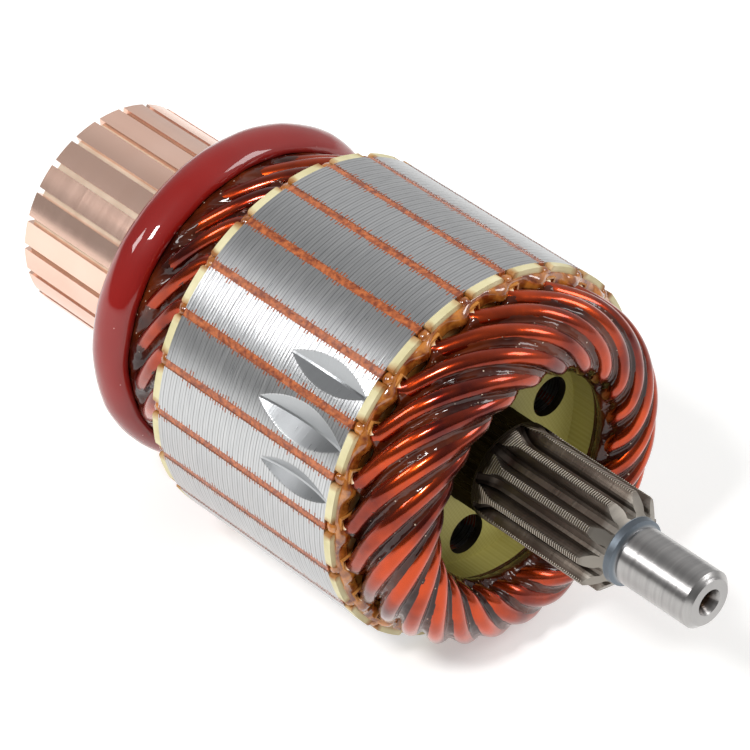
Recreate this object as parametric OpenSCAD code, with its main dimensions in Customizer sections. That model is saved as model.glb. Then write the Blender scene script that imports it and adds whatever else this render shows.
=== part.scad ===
// Wound armature of a geared starter motor, one rigid assembly on its shaft.
// Every piece is drawn round the Z axis with the drive end up and z = 0 on the
// drive-end face of the lamination stack. lay() then turns the shaft along +X,
// with the middle of the drive-end journal at the origin.

/* [Lamination stack] */
// Outside diameter of the stack
core_d = 54; // [50:0.5:60]
// Thickness of one steel lamination
sheet_t = 0.5; // [0.35:0.05:0.65]
// Number of laminations
sheet_count = 65; // [50:1:80]
// Diameter of the press seat on the shaft
seat_d = 14; // [13:0.5:16]
// Number of slots, coils and commutator bars
slot_count = 23; // [23:2:25]
// Width of the slot opening at the outside
slot_mouth_w = 1.1; // [0.8:0.1:1.6]
// Radial depth of the tooth tips over the slots
tooth_tip_t = 1.3; // [1:0.1:2]

/* [Vent holes] */
// Diameter of a vent hole
vent_d = 5.9; // [4:0.1:7]
// Diameter of the circle through the vent holes
vent_circle_d = 24.4; // [23:0.2:26]
// Number of vent holes
vent_count = 3; // [2:1:6]

/* [Balancing] */
// Radius of the milling disc that cut the balancing pockets
cutter_r = 22; // [18:1:30]
// Lengths of the three pockets
pocket_len = [13.8, 15.5, 12.7];

/* [Insulation] */
// Thickness of a fibre end plate
plate_t = 1.2; // [0.8:0.1:2]
// Thickness of the slot paper
paper_t = 0.2; // [0.1:0.05:0.3]
// How far the slot paper stands out of an end plate
cuff = 0.6; // [0.3:0.1:1]
// Thickness of the strip between the two wires of a slot
strip_t = 0.5; // [0.3:0.1:0.6]
// Thickness of the paper between the winding layers
layer_t = 0.15; // [0.1:0.05:0.2]
// Wall of the fibre band inside the drive-end winding
band_t = 0.6; // [0.4:0.1:0.8]

/* [Winding] */
// Diameter of the enamelled wire
wire_d = 2.6; // [2.4:0.05:2.65]
// Slots spanned by one coil
coil_span = 6; // [5:1:6]
// Height of the winding head over the stack
head_h = 11.6; // [11:0.2:13]
// Radial width of the winding head, middle of wire to middle of crest
head_w = 4.7; // [4.4:0.1:5.2]
// Radius of the turn at the tip of each coil
tip_r = 1.9; // [1.8:0.05:2]

/* [Commutator] */
// Diameter of the brush track
track_d = 31.8; // [31:0.2:33]
// Length of the brush track
track_l = 24; // [20:0.5:28]
// Length of the raised seats for the wire ends
riser_l = 2.8; // [2.4:0.1:3.5]
// Height of the raised seats over the brush track
riser_h = 1.5; // [1:0.1:1.8]
// Width of the gap between two bars
bar_gap = 0.85; // [0.6:0.05:1]
// Depth of the undercut between two bars
undercut = 0.8; // [0.5:0.1:1]
// Free length between the stack and the raised seats
neck_l = 15.1; // [14.5:0.1:18]
// Wall of the steel bush in the hub
bush_t = 1.3; // [1:0.1:1.6]
// Thickness of the resin band over the wire ends
ring_wall = 3.3; // [3:0.1:4]

/* [Shaft] */
// Diameter of the drive-end journal
journal_d = 8.2; // [7.5:0.1:8.6]
// Length of the drive-end journal between its chamfers
journal_l = 11.4; // [9:0.2:15]
// Diameter of the commutator-end journal
rear_journal_d = 9; // [8:0.1:9.4]
// Length of the commutator-end journal between chamfer and shoulder
rear_journal_l = 6; // [5:0.2:9]
// Diameter of the shaft under the commutator
rear_d = 10; // [9.6:0.1:10.4]
// Wall of the insulating sleeve between the stack and the commutator
sleeve_t = 1; // [0.8:0.1:1.3]
// Length of the knurled root between the end plate and the gear
knurl_l = 5; // [4:0.2:8]
// Number of teeth on the sun gear
gear_teeth = 10; // [9:1:11]
// Module of the sun gear
gear_module = 1.2; // [1.15:0.05:1.25]
// Length of the sun gear
gear_l = 21.6; // [18:0.2:26]
// Length of the collar between gear and journal
collar_l = 1.4; // [1:0.1:2]

/* [Hidden] */
$fn = 96;
PAD = 1;

// Angles: a tooth of the stack points straight up, slots lie half a pitch off.
pitch = 360 / slot_count;
function slot_angle(k) = pitch * (k + 0.5);

// Radii, from the outside of the stack inwards.
core_r = core_d / 2;
seat_r = seat_d / 2;
middle_r = seat_r - sleeve_t;
wire_r = wire_d / 2;
wire_gap = 0.05;
paper_gap = 0.05;
slot_w = wire_d + 2 * (wire_gap + paper_t + paper_gap);
slot_top_r = core_r - tooth_tip_t;
top_r = slot_top_r - paper_gap - paper_t - 0.15 - wire_r;
low_r = top_r - wire_d - strip_t - 2 * wire_gap;
slot_low_r = low_r - wire_r - wire_gap - paper_t - paper_gap;

// Stations along the shaft.
core_l = sheet_t * sheet_count;
drive_face = plate_t;
rear_face = -core_l - plate_t;
drive_cuff = drive_face + cuff;
rear_cuff = rear_face - cuff - paper_gap;
riser_end = -core_l - neck_l;
riser_start = riser_end - riser_l;
track_end = riser_start - track_l;
gear_start = drive_face + knurl_l;
gear_end = gear_start + gear_l;
journal_start = gear_end + collar_l;
edge = 0.8;
edge_in = 0.4;
journal_mid = journal_start + edge_in + journal_l / 2;
shaft_end = journal_start + edge_in + journal_l + edge;
shoulder = 0.5;
rear_end = track_end - shoulder - rear_journal_l - shoulder;

// Winding head: the middle line of a coil in the plane of radius and height.
// It rises out of the slot, follows an ellipse over the crest, turns back in
// an arc at the tip and drops along a second ellipse to the lower layer.
head_c = top_r - head_w;
head_base = drive_cuff + 3.1;
crest = head_h - wire_r;
head_rise = crest - head_base;
crest_turn = 105;
tip_from = [head_c + head_w * cos(crest_turn), head_base + head_rise * sin(crest_turn)];
tip_slope = atan2(-head_rise * cos(crest_turn), head_w * sin(crest_turn));
tip_c = tip_from + tip_r * [sin(tip_slope), -cos(tip_slope)];
tip_turn = 180 - tip_slope;
drop_base = drive_cuff + 1.2;
drop_w = low_r - tip_c[0];
drop_h = tip_c[1] - tip_r - drop_base;
// Lengths of the five stretches, for an even sweep along them.
rise_len = head_base - drive_cuff;
crest_len = PI * (head_w + head_rise) / 2 * crest_turn / 180;
tip_len = PI * tip_r * tip_turn / 180;
drop_len = PI * (drop_w + drop_h) / 4;
foot_len = drop_base - drive_cuff;
head_len = rise_len + crest_len + tip_len + drop_len + foot_len;

// A ramp from 0 to 1 whose speed grows over a, stays even and falls over b.
function ramp(t, a, b) =
    let (v = 1 / (1 - (a + b) / 2))
    t < a ? v * t * t / (2 * a) :
    t > 1 - b ? 1 - v * (1 - t) * (1 - t) / (2 * b) :
    v * (t - a / 2);

// Radius and height of the head's middle line at the length s from the slot.
function head_line(s) =
    let (s1 = s - rise_len, s2 = s1 - crest_len, s3 = s2 - tip_len, s4 = s3 - drop_len)
    s1 < 0 ? [top_r, drive_cuff + s] :
    s2 < 0 ? let (a = crest_turn * s1 / crest_len)
        [head_c + head_w * cos(a), head_base + head_rise * sin(a)] :
    s3 < 0 ? let (a = 90 + tip_slope + tip_turn * s2 / tip_len)
        tip_c + tip_r * [cos(a), sin(a)] :
    s4 < 0 ? let (a = 90 - 90 * s3 / drop_len)
        [tip_c[0] + drop_w * cos(a), drop_base + drop_h * sin(a)] :
    [low_r, drop_base - s4];

// Commutator side: the upper ends run one way, the lower ends the other.
riser_low_r = track_d / 2 - 0.2 + wire_r;
riser_high_r = riser_low_r + wire_d + strip_t + 2 * wire_gap;
end_sweep = 2.5 * pitch;
wire_end = riser_start + 0.3;
bend_z = riser_end + 0.1;
tail_len = rear_cuff - bend_z;
function tail_r(t, r0, r1) = r0 + (r1 - r0) * ramp(t, 0.3, 0.3);
function tail_sweep(t) = end_sweep * (1 - ramp(t, 0.15, 0.15));

// Stations of one coil as [radius, angle, height], from bar to bar.
TOP_STEPS = 6;
HEAD_STEPS = 16;
LOW_STEPS = 4;
span_sweep = coil_span * pitch;
coil_line = concat(
    [[riser_high_r, end_sweep, wire_end]],
    [for (i = [0:TOP_STEPS]) let (t = i / TOP_STEPS)
        [tail_r(t, riser_high_r, top_r), tail_sweep(t), bend_z + tail_len * t]],
    [for (i = [0:HEAD_STEPS]) let (t = i / HEAD_STEPS, p = head_line(head_len * t))
        [p[0], -span_sweep * ramp(t, 0.05, 0.06), p[1]]],
    [for (i = [0:LOW_STEPS]) let (t = 1 - i / LOW_STEPS)
        [tail_r(t, riser_low_r, low_r), -span_sweep - tail_sweep(t), bend_z + tail_len * t]],
    [[riser_low_r, -span_sweep - end_sweep, wire_end]]
);

// Vectors for the sweep. A ring of the tube is spanned by the normal in the
// plane of radius and height, and by the direction across it.
SIDES = 8;
function unit(v) = v / norm(v);
function spot(p) = [p[0] * cos(p[1]), p[0] * sin(p[1]), p[2]];
function before(i) = coil_line[max(i - 1, 0)];
function after(i) = coil_line[min(i + 1, len(coil_line) - 1)];
function lift(i) =
    let (d = after(i) - before(i), n = unit([d[2], -d[0]]), a = coil_line[i][1])
    [n[0] * cos(a), n[0] * sin(a), n[1]];
function across(i) = unit(cross(spot(after(i)) - spot(before(i)), lift(i)));
function tube_ring(i) =
    let (c = spot(coil_line[i]), u = unit(cross(across(i), spot(after(i)) - spot(before(i)))))
    [for (j = [0:SIDES - 1]) let (a = 360 * (j + 0.5) / SIDES)
        c + wire_r * (cos(a) * u + sin(a) * across(i))];

function numbered(name, k) = str(name, k < 10 ? "_0" : "_", k);

// Turns a piece from the drawing position to the shaft lying along +X.
module lay() {
    rotate([0, -90, 180]) translate([0, 0, -journal_mid]) children();
}

// Copies its children to every slot.
module each_slot() {
    for (k = [0:slot_count - 1]) rotate(slot_angle(k)) children();
}

// Centres a square across the X axis between two radii.
module radial_slab(r0, r1, w) {
    translate([r0, -w / 2]) square([r1 - r0, w]);
}

// ---- shaft with its sun gear -------------------------------------------

gear_pitch_r = gear_module * gear_teeth / 2;
gear_tip_r = gear_pitch_r + 0.96 * gear_module;
gear_root_r = gear_pitch_r - 1.04 * gear_module;
pressure = 20;
gear_base_r = gear_pitch_r * cos(pressure);
gear_phase = 12;
FLANK_STEPS = 5;
over_tip_r = gear_tip_r + 0.2;
function inv(a) = tan(a) - a * PI / 180;
function half_tooth(r) =
    let (a = r > gear_base_r ? acos(gear_base_r / r) : 0)
    90 / gear_teeth + (inv(pressure) - inv(a)) * 180 / PI;

// One gap between two teeth, on the X axis, from the root to past the tips.
function gap_half(r) = r * sin(180 / gear_teeth - half_tooth(r));
function gap_side(side) =
    [for (i = [0:FLANK_STEPS]) let (r = gear_base_r + (over_tip_r - gear_base_r) * i / FLANK_STEPS)
        [r * cos(180 / gear_teeth - half_tooth(r)), side * gap_half(r)]];
root_w = gap_half(gear_base_r);
function reversed(v) = [for (i = [len(v) - 1:-1:0]) v[i]];
gap_outline = concat(
    [[gear_root_r, -root_w / 2], [gear_root_r + root_w / 3, -root_w]],
    gap_side(-1),
    [[gear_tip_r + PAD, -gap_half(over_tip_r)], [gear_tip_r + PAD, gap_half(over_tip_r)]],
    reversed(gap_side(1)),
    [[gear_root_r + root_w / 3, root_w], [gear_root_r, root_w / 2]]
);

hob_r = 3.6;
run_out_l = 3.7;
run_out = gear_start + run_out_l;
module gear_gap() {
    translate([0, 0, run_out])
        linear_extrude(gear_end - run_out + PAD / 10) polygon(gap_outline);
    translate([gear_root_r + hob_r, 0, run_out]) rotate([90, 0, 0]) rotate_extrude()
        polygon([for (p = gap_outline) [gear_root_r + hob_r - p[0], p[1]]]);
}

knurl_teeth = 40;
knurl_depth = 0.35;
knurl_gap = 0.05;
module knurl() {
    translate([0, 0, drive_face]) linear_extrude(knurl_l)
        polygon([for (i = [0:2 * knurl_teeth - 1])
            let (r = seat_r - knurl_gap - (i % 2) * knurl_depth, a = 180 * i / knurl_teeth)
            [r * cos(a), r * sin(a)]]);
}

// A centre hole: a 60 degree cone and a pilot drilling, mouth at z = 0.
centre_r = 1.9;
pilot_r = 0.9;
pilot_l = 4;
module centre_hole() {
    rotate_extrude() polygon([
        [0, PAD / 10], [centre_r, PAD / 10], [centre_r, 0],
        [pilot_r, -(centre_r - pilot_r) / tan(30)], [pilot_r, -pilot_l],
        [0, -pilot_l - pilot_r / 2]
    ]);
}

bevel_h = 2.3;
collar_r = gear_root_r - 0.05;
collar_edge = 0.4;
groove_depth = 0.15;
module shaft() {
    rear_r = rear_journal_d / 2;
    front_r = journal_d / 2;
    color([0.42, 0.4, 0.38]) difference() {
        union() {
            rotate_extrude() polygon([
                [0, rear_end], [rear_r - shoulder, rear_end], [rear_r, rear_end + shoulder],
                [rear_r, track_end - shoulder], [rear_d / 2, track_end - shoulder],
                [rear_d / 2, hub_end], [middle_r, hub_end],
                [middle_r, rear_face], [seat_r, rear_face],
                [seat_r, drive_face], [seat_r - 2 * knurl_depth, drive_face],
                [seat_r - 2 * knurl_depth, gear_start], [gear_tip_r, gear_start],
                [gear_tip_r, gear_end - bevel_h], [collar_r, gear_end],
                [collar_r, journal_start - collar_edge], [front_r - groove_depth, journal_start],
                [front_r, journal_start + edge_in],
                [front_r, shaft_end - edge], [front_r - edge, shaft_end], [0, shaft_end]
            ]);
            knurl();
        }
        for (i = [0:gear_teeth - 1])
            rotate(gear_phase + 360 / gear_teeth * (i + 0.5)) gear_gap();
        translate([0, 0, shaft_end]) centre_hole();
        translate([0, 0, rear_end]) mirror([0, 0, 1]) centre_hole();
    }
}

// ---- lamination stack and its insulation --------------------------------

vent_phase = 45.5;
module vent_circles() {
    for (i = [0:vent_count - 1])
        rotate(vent_phase + 360 / vent_count * i) translate([vent_circle_d / 2, 0])
            circle(d = vent_d);
}

// The milling disc has a flat V edge; each pocket ends at the drive-end face.
vee_slope = 2;
vee_flat = 0.15;
vee_h = 3;
first_pocket_tooth = 3;
module balance_pocket(length) {
    depth = cutter_r - sqrt(cutter_r * cutter_r - length * length / 4);
    half_w = vee_flat + vee_slope * vee_h;
    translate([core_r - depth + cutter_r, 0, -length / 2]) rotate([90, 0, 0]) rotate_extrude()
        polygon([
            [0, -half_w], [cutter_r - vee_h, -half_w], [cutter_r, -vee_flat],
            [cutter_r, vee_flat], [cutter_r - vee_h, half_w], [0, half_w]
        ]);
}

module lamination_core() {
    color([0.62, 0.62, 0.6]) difference() {
        translate([0, 0, -core_l]) linear_extrude(core_l) difference() {
            circle(core_r);
            circle(seat_r);
            vent_circles();
            each_slot() {
                radial_slab(slot_low_r, slot_top_r, slot_w);
                radial_slab(slot_top_r - PAD / 10, core_r + PAD, slot_mouth_w);
            }
        }
        for (i = [0:len(pocket_len) - 1])
            rotate(pitch * (first_pocket_tooth + i)) balance_pocket(pocket_len[i]);
    }
}

// An end plate's slots open wider than the steel ones, with rounded corners.
mouth_w = 1.6;
mouth_round = 0.6;
module plate_mouth() {
    radial_slab(slot_top_r - PAD / 10, core_r + PAD, mouth_w);
    difference() {
        radial_slab(core_r - mouth_round, core_r + PAD, mouth_w + 2 * mouth_round);
        for (side = [-1, 1])
            translate([core_r - mouth_round, side * (mouth_w / 2 + mouth_round)])
                circle(mouth_round);
    }
}

module end_plate(z) {
    color([0.8, 0.76, 0.48]) translate([0, 0, z]) linear_extrude(plate_t) difference() {
        circle(core_r);
        circle(seat_r);
        vent_circles();
        each_slot() {
            radial_slab(slot_low_r, slot_top_r, slot_w);
            plate_mouth();
        }
    }
}

module slot_liners() {
    out_w = slot_w - 2 * paper_gap;
    in_w = out_w - 2 * paper_t;
    color([0.9, 0.86, 0.72]) translate([0, 0, rear_face - cuff])
        linear_extrude(drive_cuff - rear_face + cuff) each_slot() difference() {
            radial_slab(slot_low_r + paper_gap, slot_top_r - paper_gap, out_w);
            radial_slab(slot_low_r + paper_gap + paper_t, slot_top_r - paper_gap - paper_t, in_w);
        }
}

module slot_separators() {
    color([0.85, 0.8, 0.6]) translate([0, 0, rear_face]) linear_extrude(drive_face - rear_face)
        each_slot() radial_slab(low_r + wire_r + wire_gap, top_r - wire_r - wire_gap, wire_d);
}

resin_sink = 0.15;
module slot_resin() {
    color([0.8, 0.42, 0.2]) translate([0, 0, -core_l]) linear_extrude(core_l)
        each_slot() radial_slab(slot_top_r, core_r - resin_sink, slot_mouth_w);
}

// ---- winding ------------------------------------------------------------

module coil(k) {
    rings = [for (i = [0:len(coil_line) - 1]) tube_ring(i)];
    last = len(rings) - 1;
    points = [for (ring = rings) each ring];
    walls = [for (i = [0:last - 1]) for (j = [0:SIDES - 1])
        let (n = (j + 1) % SIDES, a = i * SIDES, b = a + SIDES)
        each [[a + n, a + j, b + n], [b + n, a + j, b + j]]];
    ends = [
        [for (j = [0:SIDES - 1]) j],
        [for (j = [SIDES - 1:-1:0]) last * SIDES + j]
    ];
    color([0.75, 0.25, 0.12]) rotate(slot_angle(k)) polyhedron(points, concat(walls, ends));
}

// Paper between the two layers of the winding head.
shell_gap = 0.12;
SHELL_STEPS = 10;
module drive_end_layer_ring() {
    clear_r = wire_r + shell_gap;
    shell_z = drive_cuff + paper_gap;
    roof = [for (i = [0:SHELL_STEPS]) let (a = 90 * i / SHELL_STEPS)
        [head_c + (head_w - clear_r) * cos(a), head_base + (head_rise - clear_r) * sin(a)]];
    floor_line = [for (i = [0:SHELL_STEPS]) let (a = 90 * i / SHELL_STEPS)
        [tip_c[0] + (drop_w + clear_r) * cos(a), drop_base + (drop_h + clear_r) * sin(a)]];
    color([0.55, 0.42, 0.25]) rotate_extrude() polygon(concat(
        [[top_r - clear_r, shell_z]],
        roof,
        reversed(floor_line),
        [[low_r + clear_r, shell_z]]
    ));
}

band_r = 16.3;
band_top = tip_c[1] - tip_r - wire_r - shell_gap;
module drive_end_band() {
    color([0.35, 0.22, 0.12]) translate([0, 0, drive_face]) linear_extrude(band_top - drive_face)
        difference() {
            circle(band_r + band_t);
            circle(band_r);
        }
}

module commutator_end_layer_ring() {
    mid = (wire_d + strip_t + 2 * wire_gap - layer_t) / 2;
    line = [for (i = [0:SHELL_STEPS]) let (t = i / SHELL_STEPS)
        [tail_r(t, riser_low_r, low_r) + mid, bend_z + tail_len * t]];
    color([0.55, 0.42, 0.25]) rotate_extrude() polygon(concat(
        line,
        reversed([for (p = line) [p[0] + layer_t, p[1]]])
    ));
}

// ---- commutator ---------------------------------------------------------

track_r = track_d / 2;
hub_end = riser_end + 1;
bush_r = rear_d / 2 + bush_t;
hub_sink = 0.5;
claw_in = 4.7;
claw_back = 3.3;
claw_l = 1.2;
claw_slant = 1.5;
gap_angle = bar_gap / track_r * 180 / PI;
riser_r = track_r + riser_h;

// Section of a bar in radius and height: brush track, raised seat and the two
// claws that lock it in the moulded hub.
bar_outline = [
    [track_r, track_end], [track_r, riser_start], [riser_r, riser_start],
    [riser_r, riser_end], [track_r - claw_in, riser_end],
    [track_r - claw_in, riser_end - claw_l],
    [track_r - claw_back, riser_end - claw_l - claw_slant],
    [track_r - claw_back, track_end + claw_l + claw_slant],
    [track_r - claw_in, track_end + claw_l], [track_r - claw_in, track_end]
];

module bar_sector(k) {
    rotate(pitch * k - (pitch - gap_angle) / 2)
        rotate_extrude(angle = pitch - gap_angle) polygon(bar_outline);
}

seat_w = wire_d + 2 * wire_gap;
module bar(k) {
    color([0.9, 0.68, 0.58]) difference() {
        bar_sector(k);
        rotate(pitch * k) translate([riser_low_r - wire_r - wire_gap, -seat_w / 2, wire_end - wire_gap])
            cube([riser_h + PAD, seat_w, riser_l]);
    }
}

module commutator_hub() {
    color([0.2, 0.13, 0.1]) difference() {
        rotate_extrude() polygon([
            [bush_r, track_end + hub_sink], [track_r - undercut, track_end + hub_sink],
            [track_r - undercut, riser_end], [track_r - claw_back, hub_end],
            [bush_r, hub_end]
        ]);
        for (k = [0:slot_count - 1]) bar_sector(k);
    }
}

module commutator_bush() {
    color([0.7, 0.7, 0.68]) translate([0, 0, track_end + hub_sink])
        linear_extrude(hub_end - track_end - hub_sink) difference() {
            circle(bush_r);
            circle(d = rear_d);
        }
}

// Resin band over the wire ends: a round bead with a channel open to the core.
bead_r = 4.1;
bead_z = riser_end + 0.4;
lip_l = 3.4;
lip_z = riser_end + lip_l;
wall_z = riser_start - 0.1;
roof_gap = 0.2;
inner_r = riser_high_r + wire_r + roof_gap;
ring_r = inner_r + ring_wall;
module riser_band() {
    back_z = bead_z - bead_r;
    channel_r = tail_r((lip_z - bend_z) / tail_len, riser_high_r, top_r) + wire_r + roof_gap;
    color([0.6, 0.08, 0.05]) rotate_extrude() difference() {
        union() {
            translate([ring_r - bead_r, bead_z]) circle(bead_r);
            translate([track_r, back_z]) square([ring_r - bead_r - track_r, bead_r]);
        }
        polygon([
            [0, wall_z], [inner_r, wall_z], [inner_r, riser_end],
            [channel_r, lip_z], [channel_r, lip_z + bead_r], [0, lip_z + bead_r]
        ]);
        translate([0, lip_z]) square([ring_r + PAD, bead_r]);
        translate([0, back_z - PAD]) square([track_r, 2 * bead_r]);
    }
}

module shaft_sleeve() {
    color([0.75, 0.7, 0.5]) translate([0, 0, hub_end]) linear_extrude(rear_face - hub_end)
        difference() {
            circle(seat_r);
            circle(middle_r);
        }
}

lay() shaft();
lay() lamination_core();
lay() end_plate(0);  // drive_end_plate
lay() end_plate(rear_face);  // commutator_end_plate
lay() slot_liners();
lay() slot_separators();
lay() slot_resin();
lay() drive_end_layer_ring();
lay() drive_end_band();
lay() commutator_end_layer_ring();
lay() commutator_hub();
lay() commutator_bush();
lay() riser_band();
lay() shaft_sleeve();
for (k = [1:slot_count]) lay() coil(k - 1);
for (k = [1:slot_count]) lay() bar(k);
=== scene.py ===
# %% [markdown]
# # A wound armature, step by step
#
# An armature is the turning part of a direct-current motor. This one belongs to
# a geared starter motor: a stack of slotted steel sheets on a shaft, a winding of
# thick red-enamelled copper wire, a copper commutator on one side and a small
# gear cut on the shaft on the other. The solids come from the CAD model, and the
# cells below give them their surfaces and the forms that varnish, resin and paper
# take on a real winding.

# %% Load the fixed frame
import math

import bmesh
import bpy
from mathutils import Matrix, Vector, noise


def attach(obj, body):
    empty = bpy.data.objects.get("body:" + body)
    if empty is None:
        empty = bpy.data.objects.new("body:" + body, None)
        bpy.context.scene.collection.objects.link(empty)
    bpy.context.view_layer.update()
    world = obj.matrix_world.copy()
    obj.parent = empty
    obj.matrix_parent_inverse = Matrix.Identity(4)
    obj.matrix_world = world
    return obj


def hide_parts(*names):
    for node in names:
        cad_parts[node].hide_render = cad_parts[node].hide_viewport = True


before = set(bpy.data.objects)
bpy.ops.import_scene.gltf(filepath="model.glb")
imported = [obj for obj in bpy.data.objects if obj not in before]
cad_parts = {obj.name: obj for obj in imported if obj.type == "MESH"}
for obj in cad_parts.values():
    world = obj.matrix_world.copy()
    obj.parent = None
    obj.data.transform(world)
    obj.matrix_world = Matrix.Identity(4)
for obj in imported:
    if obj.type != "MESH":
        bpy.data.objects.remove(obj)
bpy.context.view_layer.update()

# %% [markdown]
# ## Camera first
#
# The armature is seen from above and from its drive end, through a long lens, as
# in a parts catalogue. A long lens far away keeps the circles of the stack nearly
# true ellipses. A camera looks along its own -Z, so two turns are enough: one
# round X lifts the view off the floor and one round Z walks round the object.

# %% Camera
camera_data = bpy.data.cameras.new("catalogue_camera")
camera_data.lens = 201.9
camera_data.sensor_width = 36
camera = bpy.data.objects.new("catalogue_camera", camera_data)
camera.location = (0.2735, -0.3002, 0.3387)
camera.rotation_euler = (math.radians(52.815), 0, math.radians(47.593))
bpy.context.scene.collection.objects.link(camera)
bpy.context.scene.camera = camera
print("camera distance in metres:", round(camera.location.length, 3))

# %% [markdown]
# ## The drawing frame
#
# Everything on an armature is round, so pieces are easiest to draw in millimetres
# round the Z axis, with the drive end up and z = 0 on the end of the steel stack.
# One matrix then lays the shaft along +X, with the middle of the drive-end journal
# at the origin. It is baked into each mesh, so every object keeps its origin at
# the world origin, as the CAD pieces do.

# %% Sizes in millimetres and the matrix that lays the shaft down
MM = 0.001
JOURNAL_MID = 35.3
LAY = Matrix(((0, 0, MM, -JOURNAL_MID * MM), (0, -MM, 0, 0), (MM, 0, 0, 0), (0, 0, 0, 1)))

SLOTS = 23
PITCH = math.tau / SLOTS
CORE_R = 27.0
CORE_L = 32.5
SHEET_T = 0.5
PLATE_T = 1.2
CUFF = 0.6
WIRE_R = 1.3
TOP_R = 24.0
LOW_R = 20.8
DRIVE_CUFF = PLATE_T + CUFF
REAR_CUFF = -CORE_L - PLATE_T - CUFF - 0.05


def slot_angle(k):
    """Angle of slot k: a tooth points straight up, so slots lie half a pitch off."""
    return PITCH * (k + 0.5)


def round_axis(radius, angle, height):
    """A point in the drawing frame from its radius, its angle and its height."""
    return Vector((radius * math.cos(angle), radius * math.sin(angle), height))


def keep(bm, name, material, slot, *nodes):
    """Turns a bmesh into a finished piece that rides on the armature."""
    bmesh.ops.transform(bm, matrix=LAY, verts=bm.verts)
    mesh = bpy.data.meshes.new(name)
    for face in bm.faces:
        face.smooth = True
    bm.to_mesh(mesh)
    bm.free()
    mesh.materials.append(material)
    piece = bpy.data.objects.new(name, mesh)
    bpy.context.scene.collection.objects.link(piece)
    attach(piece, "root")
    if nodes:
        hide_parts(*nodes)
    print(name, len(mesh.polygons), "faces")
    return piece


# %% [markdown]
# ## Helpers for materials
#
# Colours are written as sRGB hex values, as in a paint program, and turned to the
# linear values that light is computed in. One small function adds a shader node,
# sets its settings and joins its links.

# %% Colour and node helpers
def hex_colour(code):
    """Linear colour with alpha from an sRGB hex value such as #C8401C."""
    parts = [int(code[i:i + 2], 16) / 255 for i in (1, 3, 5)]
    linear = [p / 12.92 if p <= 0.04045 else ((p + 0.055) / 1.055) ** 2.4 for p in parts]
    return (*linear, 1.0)


def add(tree, kind, links=None, **settings):
    """Adds one node; links maps a socket's name or number to a value or an output."""
    made = tree.nodes.new(kind)
    for key, value in settings.items():
        setattr(made, key, value)
    for socket, value in (links or {}).items():
        target = made.inputs[socket]
        if isinstance(value, bpy.types.NodeSocket):
            tree.links.new(value, target)
        else:
            target.default_value = value
    return made


def surface(name, **sockets):
    """A new material with one Principled shader; returns material, tree and shader."""
    material = bpy.data.materials.new(name)
    material.use_nodes = True
    tree = material.node_tree
    shader = tree.nodes["Principled BSDF"]
    for key, value in sockets.items():
        shader.inputs[key.replace("_", " ")].default_value = value
    return material, tree, shader


def done(material):
    """Prints how many nodes a finished material has."""
    print(material.name, len(material.node_tree.nodes), "nodes")


def shaft_coordinates(tree):
    """Outputs for patterns on a turned part: position, x along the shaft, radius and angle."""
    place = add(tree, "ShaderNodeTexCoord").outputs["Object"]
    split = add(tree, "ShaderNodeSeparateXYZ", {0: place})
    flat = add(tree, "ShaderNodeVectorMath", {0: place, 1: (0, 1, 1)}, operation="MULTIPLY")
    radius = add(tree, "ShaderNodeVectorMath", {0: flat.outputs[0]}, operation="LENGTH")
    angle = add(tree, "ShaderNodeMath", {0: split.outputs[1], 1: split.outputs[2]}, operation="ARCTAN2")
    return place, split.outputs[0], radius.outputs["Value"], angle.outputs[0]


# %% [markdown]
# ## Enamelled copper wire
#
# Magnet wire is drawn copper under several baked coats of clear red enamel, then
# soaked in varnish. Light passes through the coats, bounces off the metal and
# comes back orange, while the outermost coat gives a sharp white glint. A metal
# with a red-orange colour and a glossy clear coat does both.

# %% Material: enamelled copper wire
# Patterns are measured in metres, so a scale of 110 gives clouds of about 9 mm in
# the tint, and 420 gives waves of about 2.4 mm in the surface.
wire_enamel, tree, shader = surface(
    "wire_enamel", Metallic=0.95, Roughness=0.24, Coat_Weight=0.55, Coat_Roughness=0.04, Coat_IOR=1.5)
place = add(tree, "ShaderNodeTexCoord").outputs["Object"]
cloudy = add(tree, "ShaderNodeTexNoise", {"Vector": place, "Scale": 110.0, "Detail": 4.0})
tint = add(tree, "ShaderNodeMapRange", {0: cloudy.outputs[0], 1: 0.35, 2: 0.65})
enamel_colour = add(
    tree, "ShaderNodeMix",
    {0: tint.outputs[0], 6: hex_colour("#5E1103"), 7: hex_colour("#BC4009")}, data_type="RGBA")
tree.links.new(enamel_colour.outputs[2], shader.inputs["Base Color"])
waves = add(tree, "ShaderNodeTexNoise", {"Vector": place, "Scale": 420.0, "Detail": 2.0})
bump = add(tree, "ShaderNodeBump", {"Height": waves.outputs[0], "Strength": 0.12, "Distance": 0.0004})
tree.links.new(bump.outputs[0], shader.inputs["Normal"])
done(wire_enamel)

# %% [markdown]
# ## Varnish between the wires
#
# Dip varnish runs into the grooves between the wires and dries there as a dark
# brown glass, with a lighter, hazy skin where it has dried thin, and with fine
# dust caught in it.

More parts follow.
